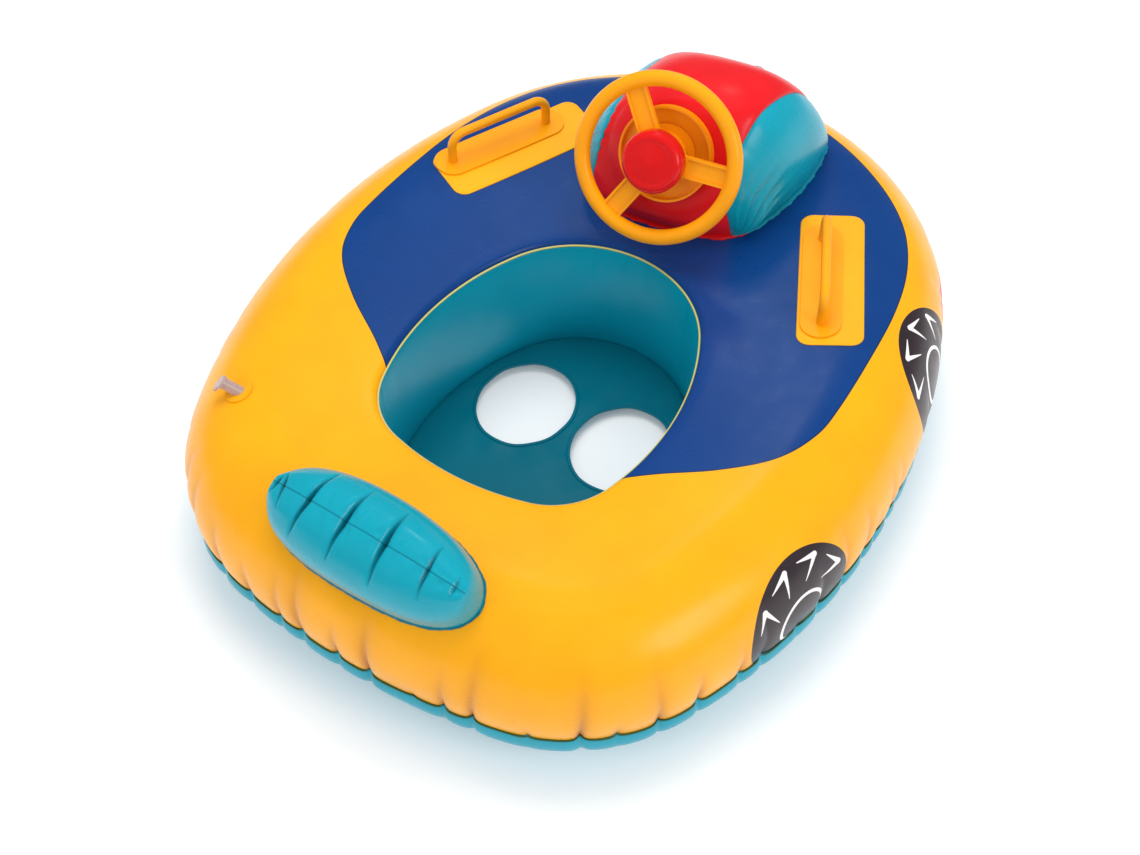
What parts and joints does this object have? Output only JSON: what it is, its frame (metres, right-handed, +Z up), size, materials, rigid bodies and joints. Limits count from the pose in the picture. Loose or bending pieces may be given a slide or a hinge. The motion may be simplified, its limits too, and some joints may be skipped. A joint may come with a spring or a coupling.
{
  "type": "inflatable baby float seat",
  "caption": "Inflatable swim float seat shaped like a car, with leg holes, a backrest pillow, grab handles and a blown-up console with a turning steering wheel and a horn",
  "frame": {"origin": "middle of the hull's outline on the water side, at the lowest point", "axes": "+Y forward towards the console, +X starboard, +Z up"},
  "size_m": [0.652, 0.7999, 0.3248],
  "materials": {
    "yellow_vinyl": "glossy welded PVC sheet, printed blue over the front deck",
    "sea_green_vinyl": "glossy welded PVC sheet",
    "dark_teal_vinyl": "glossy welded PVC sheet",
    "teal_vinyl": "glossy welded PVC sheet",
    "red_vinyl": "glossy welded PVC sheet",
    "orange_plastic": "injection moulded, smooth",
    "orange_vinyl": "soft moulded vinyl",
    "red_plastic": "soft moulded vinyl, polished",
    "white_plastic": "plain moulded",
    "spring_steel": "plain spring steel",
    "clear_vinyl": "clear soft moulded vinyl"
  },
  "bodies": {
    "float": {"backrest_base_weld": "teal_vinyl", "backrest_front": "teal_vinyl", "backrest_rear": "teal_vinyl", "backrest_seam_fin": "teal_vinyl", "bearing_washer": "white_plastic", "bottom_skin": "sea_green_vinyl", "console_base_weld": "red_vinyl", "console_gusset_left": "teal_vinyl", "console_gusset_right": "teal_vinyl", "console_panel": "red_vinyl", "console_valve_check_flap": "clear_vinyl", "console_valve_flange": "clear_vinyl", "console_valve_stem": "clear_vinyl", "handle_left": "orange_vinyl", "handle_patch_left": "orange_vinyl", "handle_patch_right": "orange_vinyl", "handle_right": "orange_vinyl", "leg_hole_hems": "dark_teal_vinyl", "main_valve_check_flap": "clear_vinyl", "main_valve_flange": "clear_vinyl", "main_valve_stem": "clear_vinyl", "outer_seam_weld": "sea_green_vinyl", "retaining_clip": "spring_steel", "seat_floor": "dark_teal_vinyl", "seat_rim_weld": "yellow_vinyl", "seat_wall": "dark_teal_vinyl", "spindle": "white_plastic", "steering_base": "orange_plastic", "top_skin": "yellow_vinyl"},
    "wheel": {"steering_wheel": "orange_plastic", "squeaker_plate": "white_plastic", "squeaker_bulb": "red_plastic"},
    "horn": {"horn_cap": "red_plastic"},
    "main_plug": {"main_valve_plug": "clear_vinyl"},
    "console_plug": {"console_valve_plug": "clear_vinyl"}
  },
  "joints": [
    {"name": "wheel_spin", "type": "hinge", "parent": "float", "child": "wheel", "pos_m": [0, 0.113, 0.251], "axis": [0.1381, -0.8721, 0.4695], "continuous": true},
    {"name": "horn_press", "type": "slide", "parent": "wheel", "child": "horn", "axis": [-0.1381, 0.8721, -0.4695], "range_m": [0, 0.003], "stiffness_N_per_m": 1200, "springref_m": -0.001},
    {"name": "main_plug_pull", "type": "slide", "parent": "float", "child": "main_plug", "axis": [-0.6474, -0.3648, 0.6691], "range_m": [0, 0.012]},
    {"name": "console_plug_pull", "type": "slide", "parent": "float", "child": "console_plug", "axis": [0, 0.9333, 0.3591], "range_m": [0, 0.012]}
  ]
}
